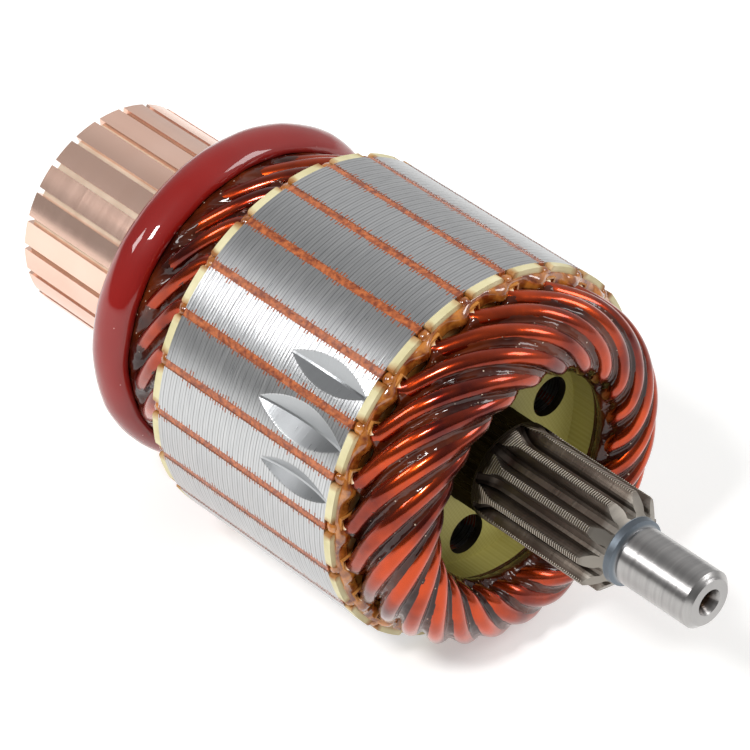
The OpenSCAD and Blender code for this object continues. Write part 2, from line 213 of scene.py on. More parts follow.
# %% Material: dried dip varnish
# Haze of about 7 mm, specks 1.1 mm apart and waves of 2 mm.
dip_varnish, tree, shader = surface(
    "dip_varnish", Roughness=0.1, IOR=1.5, Specular_IOR_Level=0.35,
    Coat_Weight=0.15, Coat_Roughness=0.04)
place = add(tree, "ShaderNodeTexCoord").outputs["Object"]
cloudy = add(tree, "ShaderNodeTexNoise", {"Vector": place, "Scale": 140.0, "Detail": 4.0})
haze = add(tree, "ShaderNodeMapRange", {0: cloudy.outputs[0], 1: 0.4, 2: 0.7})
varnish_colour = add(
    tree, "ShaderNodeMix",
    {0: haze.outputs[0], 6: hex_colour("#2C0C06"), 7: hex_colour("#62280F")}, data_type="RGBA")
specks = add(tree, "ShaderNodeTexVoronoi", {"Vector": place, "Scale": 900.0})
speck_mask = add(tree, "ShaderNodeMapRange", {0: specks.outputs["Distance"], 1: 0.12, 2: 0.06})
with_specks = add(
    tree, "ShaderNodeMix",
    {0: speck_mask.outputs[0], 6: varnish_colour.outputs[2], 7: hex_colour("#C8B4A0")}, data_type="RGBA")
tree.links.new(with_specks.outputs[2], shader.inputs["Base Color"])
waves = add(tree, "ShaderNodeTexNoise", {"Vector": place, "Scale": 500.0, "Detail": 3.0})
bump = add(tree, "ShaderNodeBump", {"Height": waves.outputs[0], "Strength": 0.25, "Distance": 0.0004})
tree.links.new(bump.outputs[0], shader.inputs["Normal"])
done(dip_varnish)

# %% [markdown]
# ## The path of a coil
#
# Each coil is one hairpin of wire. It leaves a slot in the upper layer, sweeps
# over the crest of the winding head while it turns round the shaft, dives at the
# tip into the lower layer and enters a slot six pitches on. On the commutator side
# its two ends run apart, each to its own bar. The path is a formula of radius,
# angle and height, so it is sampled as finely as a smooth tube needs.

# %% Formulas of the winding head
HEAD_W = 4.7
HEAD_C = TOP_R - HEAD_W
HEAD_BASE = DRIVE_CUFF + 3.1
HEAD_RISE = 11.6 - WIRE_R - HEAD_BASE
CREST_TURN = math.radians(105)
TIP_R = 1.9
tip_slope = math.atan2(-HEAD_RISE * math.cos(CREST_TURN), HEAD_W * math.sin(CREST_TURN))
TIP_C = (HEAD_C + HEAD_W * math.cos(CREST_TURN) + TIP_R * math.sin(tip_slope),
         HEAD_BASE + HEAD_RISE * math.sin(CREST_TURN) - TIP_R * math.cos(tip_slope))
TIP_TURN = math.pi - tip_slope
DROP_BASE = DRIVE_CUFF + 1.2
DROP_W = LOW_R - TIP_C[0]
DROP_H = TIP_C[1] - TIP_R - DROP_BASE
STRETCHES = [HEAD_BASE - DRIVE_CUFF,
             math.pi * (HEAD_W + HEAD_RISE) / 2 * CREST_TURN / math.pi,
             TIP_R * TIP_TURN,
             math.pi * (DROP_W + DROP_H) / 4,
             DROP_BASE - DRIVE_CUFF]
HEAD_LEN = sum(STRETCHES)
SPAN = 6 * PITCH


def ease(t, a, b):
    """From 0 to 1 with a speed that grows over a, stays even and falls over b."""
    v = 1 / (1 - (a + b) / 2)
    if t < a:
        return v * t * t / (2 * a)
    if t > 1 - b:
        return 1 - v * (1 - t) ** 2 / (2 * b)
    return v * (t - a / 2)


def head_line(s):
    """Radius and height of the wire's middle line at the length s from the slot."""
    rise, crest, tip, drop, _ = STRETCHES
    if s < rise:
        return TOP_R, DRIVE_CUFF + s
    s -= rise
    if s < crest:
        a = CREST_TURN * s / crest
        return HEAD_C + HEAD_W * math.cos(a), HEAD_BASE + HEAD_RISE * math.sin(a)
    s -= crest
    if s < tip:
        a = math.pi / 2 + tip_slope + TIP_TURN * s / tip
        return TIP_C[0] + TIP_R * math.cos(a), TIP_C[1] + TIP_R * math.sin(a)
    s -= tip
    if s < drop:
        a = math.pi / 2 * (1 - s / drop)
        return TIP_C[0] + DROP_W * math.cos(a), DROP_BASE + DROP_H * math.sin(a)
    return LOW_R, DROP_BASE - (s - drop)


def head_sweep(s):
    """Angle that a wire has turned round the shaft at the length s."""
    return -SPAN * ease(s / HEAD_LEN, 0.05, 0.06)


print("length of wire in one winding head, without its sweep:", round(HEAD_LEN, 1), "mm")

# %% Formulas of the wire ends on the commutator side
RISER_END = -CORE_L - 15.1
RISER_START = RISER_END - 2.8
RISER_LOW = 15.7 + WIRE_R
RISER_HIGH = RISER_LOW + 2 * WIRE_R + 0.6
END_SWEEP = 2.5 * PITCH
BEND_Z = RISER_END + 0.1
TAIL_LEN = REAR_CUFF - BEND_Z


def tail_point(t, riser, layer, side):
    """A wire end from its bar (t = 0) to its slot (t = 1): radius, sweep and height."""
    return (riser + (layer - riser) * ease(t, 0.3, 0.3),
            side * END_SWEEP * (1 - ease(t, 0.15, 0.15)),
            BEND_Z + TAIL_LEN * t)


# %% The coils as smooth tubes
TAIL_STEPS = 28
HEAD_STEPS = 110
coil_path = [(RISER_HIGH, END_SWEEP, RISER_START + 0.3)]
coil_path += [tail_point(i / TAIL_STEPS, RISER_HIGH, TOP_R, 1) for i in range(TAIL_STEPS + 1)]
for i in range(HEAD_STEPS + 1):
    length = HEAD_LEN * i / HEAD_STEPS
    radius, height = head_line(length)
    coil_path.append((radius, head_sweep(length), height))
for i in range(TAIL_STEPS, -1, -1):
    radius, sweep, height = tail_point(i / TAIL_STEPS, RISER_LOW, LOW_R, -1)
    coil_path.append((radius, sweep - SPAN, height))
coil_path.append((RISER_LOW, -SPAN - END_SWEEP, RISER_START + 0.3))


def wire_tube(name, points, thickness):
    """A bmesh tube in the drawing frame along points, made by a curve with a round bevel."""
    curve = bpy.data.curves.new(name, "CURVE")
    curve.dimensions = "3D"
    curve.bevel_depth = thickness
    curve.bevel_resolution = 6
    curve.use_fill_caps = True
    spline = curve.splines.new("POLY")
    spline.points.add(len(points) - 1)
    for spot, point in zip(spline.points, points):
        spot.co = (*point, 1)
    holder = bpy.data.objects.new(name, curve)
    bpy.context.scene.collection.objects.link(holder)
    mesh = bpy.data.meshes.new_from_object(holder.evaluated_get(bpy.context.evaluated_depsgraph_get()))
    bpy.data.objects.remove(holder)
    bpy.data.curves.remove(curve)
    bm = bmesh.new()
    bm.from_mesh(mesh)
    bpy.data.meshes.remove(mesh)
    bmesh.ops.remove_doubles(bm, verts=bm.verts, dist=0.001)
    return bm


for k in range(SLOTS):
    points = [round_axis(r, slot_angle(k) + sweep, z) for r, sweep, z in coil_path]
    tube = wire_tube(f"coil_{k + 1:02d}_wire", points, WIRE_R)
    keep(tube, f"coil_{k + 1:02d}_wire", wire_enamel, "enamelled_copper", f"coil_{k + 1:02d}")

# %% [markdown]
# ## The varnish surface
#
# Between two wires the varnish stands in a groove: it climbs each wire and sags in
# the middle, as any wetting liquid does. A grid is wrapped along the wires, one
# direction along them and the other round the shaft, and each vertex is lifted by
# a small formula of its distance from the nearest wire. The underside is closed so
# that the skin is a solid.

# %% Varnish over the winding head
COLUMNS_PER_SLOT = 28


def climb(off_wire, half_pitch, contact, middle):
    """Height of varnish over the wire's middle line at a distance from that line."""
    contact_height = math.sqrt(max(WIRE_R ** 2 - contact ** 2, 0))
    if off_wire < contact:
        return math.sqrt(WIRE_R ** 2 - off_wire ** 2) - 0.15
    gap = max(half_pitch - contact, 0.05)
    u = min((off_wire - contact) / gap, 1)
    return middle + (contact_height - middle) * (1 - u) ** (1.6 + 0.8 * gap)


def line_frame(line, s, step=0.02):
    """Point and outward normal in the plane of radius and height."""
    r0, z0 = line(s - step)
    r1, z1 = line(s + step)
    length = math.hypot(r1 - r0, z1 - z0)
    r, z = line(s)
    return r, z, (z1 - z0) / length, -(r1 - r0) / length


def head_skin(u, phase):
    """Point of the varnish skin: u runs along the wires, phase from wire to wire."""
    innermost = STRETCHES[0] + STRETCHES[1] + TIP_R * (math.pi / 2 - tip_slope)
    start, end = 0.03, innermost + 0.8 * TIP_R
    s = start + (end - start) * u
    r, z, nr, nz = line_frame(head_line, s)
    turn = (head_sweep(s + 0.02) - head_sweep(s - 0.02)) / 0.04
    slant = math.atan(abs(turn) * (r + 0.5 * nr))
    half_pitch = PITCH / 2 * (r + 0.8 * nr) * math.cos(slant)
    off_wire = min(phase % 1, 1 - phase % 1) * 2 * half_pitch
    grown = min(s / 7, 1)
    contact = 1.25 + (0.98 - 1.25) * grown
    middle = -0.9 + (0.55 + 0.9) * grown
    height = climb(off_wire, half_pitch, contact, middle)
    drowned = ease(min(max((s - innermost + 0.1) / 0.6, 0), 1), 0.5, 0.5)
    height += drowned * (WIRE_R + 0.4 - height)
    return r + nr * height, z + nz * height, head_sweep(s)


def wrap_skin(name, skin, rows, underside, material, slot, *nodes):
    """Wraps a grid round the shaft: rows along the wires, then an underside back to the start."""
    last = rows + len(underside) + 1
    bm = bmesh.new()
    bmesh.ops.create_grid(bm, x_segments=last, y_segments=SLOTS * COLUMNS_PER_SLOT, size=0.5)
    for vert in bm.verts:
        row = round((vert.co.x + 0.5) * last)
        column = round((vert.co.y + 0.5) * SLOTS, 4) % SLOTS
        if rows < row < last:
            r, z = underside[row - rows - 1]
            back = (row - rows) / (last - rows)
            sweep = skin(1, column)[2] * (1 - back) + skin(0, column)[2] * back
        else:
            r, z, sweep = skin(row / rows if row <= rows else 0, column)
        point = round_axis(r, slot_angle(0) + PITCH * column + sweep, z)
        grit = noise.noise(point * 0.9) * 0.10 + noise.noise(point * 2.7) * 0.05
        on_skin = row <= rows or row == last
        vert.co = point + grit * Vector((point.x, point.y, 0)).normalized() * on_skin
    bmesh.ops.remove_doubles(bm, verts=bm.verts, dist=0.002)
    bmesh.ops.recalc_face_normals(bm, faces=bm.faces)
    print(name, "open edges:", sum(1 for edge in bm.edges if len(edge.link_faces) != 2))
    return keep(bm, name, material, slot, *nodes)


wrap_skin("head_varnish", head_skin, 84,
          [(16.2, 5.4), (16.95, 4.9), (18.6, 4.0), (20.8, 2.6), (22.4, 1.95)],
          dip_varnish, "layer_paper", "drive_end_layer_ring")

# %% Varnish over the neck, climbing to the ring
def neck_skin(u, phase):
    """Point of the skin from the stack (u = 0) to inside the ring (u = 1)."""
    t = 1 - 0.97 * u
    r, sweep, z = tail_point(t, RISER_HIGH, TOP_R, 1)
    r_on, sweep_on, z_on = tail_point(t - 0.01, RISER_HIGH, TOP_R, 1)
    along = math.hypot(r_on - r, z_on - z)
    nr, nz = (z - z_on) / along, (r_on - r) / along
    slant = math.atan(abs(sweep_on - sweep) * r / along)
    half_pitch = PITCH / 2 * (r + 0.8) * math.cos(slant)
    off_wire = min(phase % 1, 1 - phase % 1) * 2 * half_pitch
    wavy = 0.5 + 0.5 * noise.noise(Vector((phase * 1.7, 3.0, 0.0)))
    climbed = ease(min(max((u - 0.34 - 0.2 * wavy) / 0.26, 0), 1), 0.5, 0.5)
    height = climb(off_wire, half_pitch, 1.12 - 0.1 * u, -0.55 + 0.35 * u)
    height += climbed * (1.42 - height) * 0.92
    return r + nr * height, z + nz * height, sweep


wrap_skin("neck_varnish", neck_skin, 64,
          [(19.4, RISER_END + 0.8), (19.2, RISER_END + 3.0), (20.6, RISER_END + 7.0),
           (22.3, REAR_CUFF - 2.5), (22.9, REAR_CUFF - 0.4)],
          dip_varnish, "layer_paper", "commutator_end_layer_ring")

# %% [markdown]
# ## Paper cuffs at the slots
#
# The slot paper is folded a little longer than the stack. Where a wire leans away
# from its slot the paper lags behind it and stands up in a cream point. Each cuff
# is a small sheet wrapped round the outside of the wire, longest on the side that
# the wire leans away from, and then given the thickness of the paper.

# %% Material: slot paper
# Clouds of 2 mm; the foot of each cuff is stained over half a millimetre.
CUFF_FOOT = (PLATE_T + 0.1 - JOURNAL_MID) * MM
slot_paper, tree, shader = surface("slot_paper", Roughness=0.6)
place = add(tree, "ShaderNodeTexCoord").outputs["Object"]
along = add(tree, "ShaderNodeSeparateXYZ", {0: place}).outputs[0]
cloudy = add(tree, "ShaderNodeTexNoise", {"Vector": place, "Scale": 500.0, "Detail": 3.0})
foot = add(tree, "ShaderNodeMath", {0: cloudy.outputs[0], 1: -0.001, 2: along}, operation="MULTIPLY_ADD")
stain = add(tree, "ShaderNodeMapRange", {0: foot.outputs[0], 1: CUFF_FOOT + 0.0005, 2: CUFF_FOOT})
paper_colour = add(
    tree, "ShaderNodeMix",
    {0: stain.outputs[0], 6: hex_colour("#F2E6CA"), 7: hex_colour("#C08038")}, data_type="RGBA")
tree.links.new(paper_colour.outputs[2], shader.inputs["Base Color"])
done(slot_paper)

# %% Cuffs
def cuff_sheet(bm, angle):
    """Adds one pointed cuff to bm, at the slot with this angle."""
    made = bmesh.ops.create_grid(bm, x_segments=12, y_segments=5, size=0.5)
    for vert in made["verts"]:
        round_wire = (vert.co.x + 0.5) * math.radians(165) - math.radians(30)
        up = vert.co.y + 0.5
        lag = 0.5 + 0.5 * math.sin(round_wire)
        tall = 0.35 + 2.1 * lag ** 3
        flare = WIRE_R + 0.1 + 0.12 * up * lag
        side = flare * math.sin(round_wire) - 0.62 * up * tall
        out = flare * math.cos(round_wire) - 0.25 * up * up * tall * (1 - lag)
        vert.co = Matrix.Rotation(angle, 3, "Z") @ Vector((TOP_R + out, side, PLATE_T + 0.1 + up * tall))


bm = bmesh.new()
for k in range(SLOTS):
    cuff_sheet(bm, slot_angle(k))
bmesh.ops.recalc_face_normals(bm, faces=bm.faces)
bmesh.ops.solidify(bm, geom=bm.faces, thickness=0.12)
keep(bm, "slot_cuffs", slot_paper, "slot_paper")

# %% [markdown]
# ## A lip of varnish
#
# Where the varnish of the winding head ends at the recess, it hangs in a thick,
# uneven lip. It is a small circle spun round the shaft, with slow noise along it.

# %% Lip of varnish round the recess
LIP_R = 0.32
LIP_RING_R = 16.65
LIP_HEIGHT = 5.05
bm = bmesh.new()
bmesh.ops.create_circle(bm, segments=12, radius=LIP_R)
lip_place = Matrix.Translation((LIP_RING_R, 0, LIP_HEIGHT)) @ Matrix.Rotation(math.pi / 2, 4, "X")
bmesh.ops.transform(bm, matrix=lip_place, verts=bm.verts)
bmesh.ops.spin(
    bm, geom=bm.edges[:], cent=(0, 0, 0), axis=(0, 0, 1), angle=math.tau, steps=140, use_merge=True)
bmesh.ops.remove_doubles(bm, verts=bm.verts, dist=0.001)
bmesh.ops.recalc_face_normals(bm, faces=bm.faces)
for vert in bm.verts:
    vert.co.z += 0.35 * noise.noise(vert.co * 0.25)
keep(bm, "recess_lip", dip_varnish, "layer_paper")

# %% [markdown]
# ## Amber varnish
#
# The same varnish in a thin drop over cream paper: light comes back through it as
# amber. Drops of it close the mouths of the slots in both end plates.

# %% Material: amber varnish
# Clouds of about 1.4 mm.
amber_varnish, tree, shader = surface(
    "amber_varnish", Roughness=0.12, IOR=1.55, Coat_Weight=0.8, Coat_Roughness=0.05)
place = add(tree, "ShaderNodeTexCoord").outputs["Object"]
cloudy = add(tree, "ShaderNodeTexNoise", {"Vector": place, "Scale": 700.0, "Detail": 3.0})
amber_depth = add(tree, "ShaderNodeMapRange", {0: cloudy.outputs[0], 1: 0.35, 2: 0.65})
amber_colour = add(
    tree, "ShaderNodeMix",
    {0: amber_depth.outputs[0], 6: hex_colour("#6E2E0C"), 7: hex_colour("#C07830")}, data_type="RGBA")
tree.links.new(amber_colour.outputs[2], shader.inputs["Base Color"])
done(amber_varnish)

# %% Drops of varnish in the mouths of the end plates
def drop(bm, angle, radius, height, size, reach):
    """Adds one flattened drop: size across the slot, reach along the shaft."""
    made = bmesh.ops.create_icosphere(bm, subdivisions=2, radius=1.0)
    for vert in made["verts"]:
        bumpy = 1 + 0.25 * noise.noise(vert.co * 1.3 + Vector((angle * 5, height, 0)))
        flat = Vector((vert.co.x * 0.7 * bumpy, vert.co.y * size * bumpy, vert.co.z * reach * bumpy))
        vert.co = Matrix.Rotation(angle, 3, "Z") @ (flat + Vector((radius, 0, height)))


bm = bmesh.new()
for k in range(SLOTS):
    drop(bm, slot_angle(k), 26.1, PLATE_T / 2 + 0.05, 1.0, 0.8)
    drop(bm, slot_angle(k) + 0.035, 25.3, PLATE_T + 0.15, 1.3, 0.5)
    drop(bm, slot_angle(k), 26.1, -CORE_L - PLATE_T / 2 - 0.05, 1.0, 0.8)
    drop(bm, slot_angle(k) - 0.02, 25.4, REAR_CUFF + 0.3, 1.2, 0.5)
keep(bm, "mouth_varnish", amber_varnish, "slot_resin")

# %% [markdown]
# ## Varnish at the feet of the wires
#
# Where the wires leave the stack the varnish wets the end plate and climbs the
# paper, so a small amber fillet runs round the plate. It stands highest on the side
# that each wire leans away from, where the paper holds it.

# %% Amber fillets on both end plates
FOOT_R = 24.85
FOOT_W = 1.35


def foot_skin(u, phase, face=PLATE_T, outward=1):
    """Point of the fillet from the rim of an end plate (u = 0) to the wires (u = 1)."""
    lag = 0.5 + 0.5 * math.cos(math.tau * (phase - 0.22 * outward))
    tall = 0.3 + 0.95 * lag ** 2
    turn = math.radians(115) * u
    return FOOT_R + FOOT_W * math.cos(turn), face + outward * (tall * math.sin(turn) - 0.05), 0.0


def rear_foot_skin(u, phase):
    """The same fillet on the commutator side."""
    return foot_skin(u, phase, -CORE_L - PLATE_T, -1)


wrap_skin("drive_foot_varnish", foot_skin, 10,
          [(24.2, PLATE_T - 0.25), (25.4, PLATE_T - 0.3)], amber_varnish, "slot_resin")
wrap_skin("rear_foot_varnish", rear_foot_skin, 10,
          [(24.2, -CORE_L - PLATE_T + 0.25), (25.4, -CORE_L - PLATE_T + 0.3)],
          amber_varnish, "slot_resin")

# %% [markdown]
# ## The steel stack
#
# The stack is half-millimetre electrical steel, stamped, coated and turned on a
# lathe after winding. Turning smears the edges of the sheets a little, so the
# joints show as fine dark rings, every second one stronger. In the slot mouths the
# tool drags orange resin into the joints, which gives each slot its ragged edges.
# The balancing pockets are milled, so they lie below the turned surface and are
# left smooth.

# %% Material: turned electrical steel
# Streaks are 0.24 mm wide along the shaft and 4 mm long round it; the joints wander
# by a tenth of a millimetre over 5 mm.
stack_steel, tree, shader = surface("turned_electrical_steel", Metallic=1.0)
place, along, radius, angle = shaft_coordinates(tree)
wander = add(tree, "ShaderNodeTexNoise", {"Vector": place, "Scale": 220.0, "Detail": 2.0})
shift = add(
    tree, "ShaderNodeMath",
    {0: wander.outputs[0], 1: 0.00012, 2: along}, operation="MULTIPLY_ADD")
joint = add(tree, "ShaderNodeMath", {0: shift.outputs[0], 1: SHEET_T * MM / 2}, operation="PINGPONG")
sheet_edge = add(tree, "ShaderNodeMapRange", {0: joint.outputs[0], 1: 0.00001, 2: 0.00007})
stretch = add(tree, "ShaderNodeVectorMath", {0: place, 1: (4200.0, 260.0, 260.0)}, operation="MULTIPLY")
streaks = add(tree, "ShaderNodeTexNoise", {"Vector": stretch.outputs[0], "Scale": 1.0, "Detail": 3.0})
streak_tone = add(
    tree, "ShaderNodeMix",
    {0: streaks.outputs[0], 6: hex_colour("#AAACAF"), 7: hex_colour("#D6D6D6")}, data_type="RGBA")
outside = add(tree, "ShaderNodeMapRange", {0: radius, 1: (CORE_R - 0.12) * MM, 2: (CORE_R - 0.03) * MM})
in_vents = add(tree, "ShaderNodeMath", {0: radius, 1: 16.5 * MM}, operation="LESS_THAN")
turned = add(
    tree, "ShaderNodeMath",
    {0: outside.outputs[0], 1: in_vents.outputs[0]}, operation="MAXIMUM")
joint_depth = add(tree, "ShaderNodeMath", {0: sheet_edge.outputs[0], 1: 1.0}, operation="SUBTRACT")
joint_mask = add(
    tree, "ShaderNodeMath", {0: joint_depth.outputs[0], 1: turned.outputs[0]}, operation="MULTIPLY")
fine_line = add(tree, "ShaderNodeMath", {0: joint_mask.outputs[0], 1: -0.4}, operation="MULTIPLY")
pair = add(tree, "ShaderNodeMath", {0: shift.outputs[0], 1: SHEET_T * MM}, operation="PINGPONG")
burr = add(tree, "ShaderNodeMapRange", {0: pair.outputs[0], 1: 0.00001, 2: 0.0001, 3: 0.62, 4: 0.0})
pair_line = add(tree, "ShaderNodeMath", {0: burr.outputs[0], 1: turned.outputs[0]}, operation="MULTIPLY")
joint_dark = add(
    tree, "ShaderNodeMath",
    {0: fine_line.outputs[0], 1: pair_line.outputs[0]}, operation="MAXIMUM")
milled = add(
    tree, "ShaderNodeMix",
    {0: turned.outputs[0], 6: hex_colour("#AEB0B2"), 7: streak_tone.outputs[2]}, data_type="RGBA")
steel_colour = add(
    tree, "ShaderNodeMix",
    {0: joint_dark.outputs[0], 6: milled.outputs[2], 7: hex_colour("#4A4642")}, data_type="RGBA")
print("sheets drawn on the stack:", round(CORE_L / SHEET_T))

# %% Orange smears beside the slots
# A smear ends 0.6 to 1.2 mm from the middle of its slot, differently on each sheet.
from_slot = add(tree, "ShaderNodeMath", {0: angle, 1: PITCH / 2}, operation="PINGPONG")
to_slot = add(tree, "ShaderNodeMath", {0: PITCH / 2, 1: from_slot.outputs[0]}, operation="SUBTRACT")
reach = add(tree, "ShaderNodeMath", {0: to_slot.outputs[0], 1: CORE_R}, operation="MULTIPLY")
sheet_no = add(tree, "ShaderNodeMath", {0: along, 1: 1 / (SHEET_T * MM)}, operation="MULTIPLY")
sheet_id = add(tree, "ShaderNodeMath", {0: sheet_no.outputs[0]}, operation="ROUND")
slot_no = add(tree, "ShaderNodeMath", {0: angle, 1: 2 / PITCH}, operation="MULTIPLY")
slot_id = add(tree, "ShaderNodeMath", {0: slot_no.outputs[0]}, operation="ROUND")
tick_seed = add(tree, "ShaderNodeCombineXYZ", {0: sheet_id.outputs[0], 1: slot_id.outputs[0]})
tick_random = add(tree, "ShaderNodeTexWhiteNoise", {"Vector": tick_seed.outputs[0]})
tick_power = add(tree, "ShaderNodeMath", {0: tick_random.outputs[0], 1: 2.0}, operation="POWER")
tick_length = add(
    tree, "ShaderNodeMath",
    {0: tick_power.outputs[0], 1: 0.65, 2: 0.58}, operation="MULTIPLY_ADD")
inside_tick = add(
    tree, "ShaderNodeMath", {0: reach.outputs[0], 1: tick_length.outputs[0]}, operation="LESS_THAN")
near_joint = add(tree, "ShaderNodeMath", {0: joint.outputs[0], 1: 0.00011}, operation="LESS_THAN")
tick = add(
    tree, "ShaderNodeMath", {0: inside_tick.outputs[0], 1: near_joint.outputs[0]}, operation="MULTIPLY")
tick_turned = add(
    tree, "ShaderNodeMath",
    {0: tick.outputs[0], 1: turned.outputs[0]}, operation="MULTIPLY")
ticked = add(
    tree, "ShaderNodeMix",
    {0: tick_turned.outputs[0], 6: steel_colour.outputs[2], 7: hex_colour("#8E4A28")}, data_type="RGBA")
tree.links.new(ticked.outputs[2], shader.inputs["Base Color"])
not_tick = add(tree, "ShaderNodeMath", {0: 1.0, 1: tick_turned.outputs[0]}, operation="SUBTRACT")
tree.links.new(not_tick.outputs[0], shader.inputs["Metallic"])
rough = add(tree, "ShaderNodeMapRange", {0: streaks.outputs[0], 3: 0.24, 4: 0.36})
tree.links.new(rough.outputs[0], shader.inputs["Roughness"])
groove = add(tree, "ShaderNodeMath", {0: joint_mask.outputs[0], 1: streaks.outputs[0]}, operation="ADD")
bump = add(tree, "ShaderNodeBump", {"Height": groove.outputs[0], "Strength": 0.35, "Distance": 0.00006})
tree.links.new(bump.outputs[0], shader.inputs["Normal"])
done(stack_steel)

# %% [markdown]
# ## Resin and fibre
#
# Trickle resin fills the slot mouths and dries orange and grainy. The end plates
# are vulcanised fibre: pale at the cut rim, soaked with amber varnish behind it,
# and olive yellow with a faint weave inside the recess.

# %% Material: trickle resin
# Grains of 0.6 mm.
trickle_resin, tree, shader = surface(
    "trickle_resin", Roughness=0.35, Coat_Weight=0.4, Coat_Roughness=0.2)
place = add(tree, "ShaderNodeTexCoord").outputs["Object"]
grains = add(tree, "ShaderNodeTexNoise", {"Vector": place, "Scale": 1600.0, "Detail": 4.0})
grain_mask = add(tree, "ShaderNodeMapRange", {0: grains.outputs[0], 1: 0.35, 2: 0.65})
resin_colour = add(
    tree, "ShaderNodeMix",
    {0: grain_mask.outputs[0], 6: hex_colour("#7A361A"), 7: hex_colour("#C06A38")}, data_type="RGBA")
tree.links.new(resin_colour.outputs[2], shader.inputs["Base Color"])
bump = add(tree, "ShaderNodeBump", {"Height": grains.outputs[0], "Strength": 0.5, "Distance": 0.0002})
tree.links.new(bump.outputs[0], shader.inputs["Normal"])
done(trickle_resin)

# %% Material: vulcanised fibre
# Clouds of 3 mm and threads half a millimetre apart, half a radian off level.
fibre, tree, shader = surface("vulcanised_fibre", Roughness=0.55)
place, _, radius, angle = shaft_coordinates(tree)
cloudy = add(tree, "ShaderNodeTexNoise", {"Vector": place, "Scale": 300.0, "Detail": 4.0})
rim_colour = add(
    tree, "ShaderNodeMix",
    {0: cloudy.outputs[0], 6: hex_colour("#B4A86C"), 7: hex_colour("#EEE6C2")}, data_type="RGBA")
tilt = add(
    tree, "ShaderNodeVectorMath",
    {0: place, 1: (0, math.cos(0.5), math.sin(0.5))}, operation="DOT_PRODUCT")
tilt_x = add(
    tree, "ShaderNodeVectorMath",
    {0: place, 1: (0, -math.sin(0.5), math.cos(0.5))}, operation="DOT_PRODUCT")
THREAD = 0.0005
warp = add(tree, "ShaderNodeMath", {0: tilt.outputs["Value"], 1: THREAD / 2}, operation="PINGPONG")
weft = add(tree, "ShaderNodeMath", {0: tilt_x.outputs["Value"], 1: THREAD / 2}, operation="PINGPONG")
cloth = add(tree, "ShaderNodeMath", {0: warp.outputs[0], 1: weft.outputs[0]}, operation="ADD")
cloth_mask = add(tree, "ShaderNodeMapRange", {0: cloth.outputs[0], 1: 0.0, 2: THREAD})
olive = add(
    tree, "ShaderNodeMix",
    {0: cloth_mask.outputs[0], 6: hex_colour("#B8AE5C"), 7: hex_colour("#C6BE70")}, data_type="RGBA")
inner = add(tree, "ShaderNodeMapRange", {0: radius, 1: 0.0185, 2: 0.0175})
fibre_colour = add(
    tree, "ShaderNodeMix",
    {0: inner.outputs[0], 6: rim_colour.outputs[2], 7: olive.outputs[2]}, data_type="RGBA")
print("threads across a plate:", round(2 * CORE_R * MM / THREAD))

# %% Amber varnish soaked into the end plates
# It spreads from the slots, and over the face behind the rim.
from_tooth = add(tree, "ShaderNodeMath", {0: angle, 1: PITCH / 2}, operation="PINGPONG")
slot_side = add(tree, "ShaderNodeMath", {0: PITCH / 2, 1: from_tooth.outputs[0]}, operation="SUBTRACT")
uneven = add(
    tree, "ShaderNodeMath",
    {0: cloudy.outputs[0], 1: 0.09, 2: slot_side.outputs[0]}, operation="MULTIPLY_ADD")
soaked = add(tree, "ShaderNodeMapRange", {0: uneven.outputs[0], 1: 0.115, 2: 0.075})
at_rim = add(tree, "ShaderNodeMath", {0: radius, 1: 0.0225}, operation="GREATER_THAN")
below_rim = add(tree, "ShaderNodeMapRange", {0: radius, 1: 0.0265, 2: 0.0258})
ragged = add(tree, "ShaderNodeMapRange", {0: cloudy.outputs[0], 1: 0.3, 2: 0.5, 3: 0.55, 4: 1.0})
stain_tone = add(
    tree, "ShaderNodeMix",
    {0: cloudy.outputs[0], 6: hex_colour("#6E3408"), 7: hex_colour("#C88838")}, data_type="RGBA")
wet_face = add(
    tree, "ShaderNodeMath",
    {0: below_rim.outputs[0], 1: ragged.outputs[0]}, operation="MULTIPLY")
wet = add(tree, "ShaderNodeMath", {0: soaked.outputs[0], 1: wet_face.outputs[0]}, operation="MAXIMUM")
stained = add(tree, "ShaderNodeMath", {0: wet.outputs[0], 1: at_rim.outputs[0]}, operation="MULTIPLY")
rim_stained = add(
    tree, "ShaderNodeMix",
    {0: stained.outputs[0], 6: fibre_colour.outputs[2], 7: stain_tone.outputs[2]}, data_type="RGBA")
print("nodes so far:", len(tree.nodes))

# %% Painted shade on the walls of the holes in the fibre
normal = add(tree, "ShaderNodeNewGeometry").outputs["Normal"]
facing = add(tree, "ShaderNodeSeparateXYZ", {0: normal})
lengthwise = add(tree, "ShaderNodeMath", {0: facing.outputs[0]}, operation="ABSOLUTE")
wall = add(tree, "ShaderNodeMath", {0: lengthwise.outputs[0], 1: 0.5}, operation="LESS_THAN")
near_shaft = add(tree, "ShaderNodeMath", {0: radius, 1: 0.0156}, operation="LESS_THAN")
hole_shade_mask = add(
    tree, "ShaderNodeMath",
    {0: wall.outputs[0], 1: near_shaft.outputs[0]}, operation="MULTIPLY")
# Painted shade: the sideways walls of the holes near the shaft are coloured near black, though the fibre
# there is no darker.
with_painted_hole_shade = add(
    tree, "ShaderNodeMix",
    {0: hole_shade_mask.outputs[0], 6: rim_stained.outputs[2], 7: hex_colour("#2C2416")}, data_type="RGBA")
tree.links.new(with_painted_hole_shade.outputs[2], shader.inputs["Base Color"])
bump = add(
    tree, "ShaderNodeBump",
    {"Height": cloth_mask.outputs[0], "Strength": 0.03, "Distance": 0.00006})
tree.links.new(bump.outputs[0], shader.inputs["Normal"])
done(fibre)

# %% [markdown]
# ## Shaft steel
#
# The shaft is one bar of case-hardened steel with several finishes along it. Both
# journals are ground bright, the collar beside the front one is a little blue,
# the gear teeth keep a dark oily skin with fine marks across their lands, and the
# knurl is black and rough. The finish is chosen by the place along the shaft.

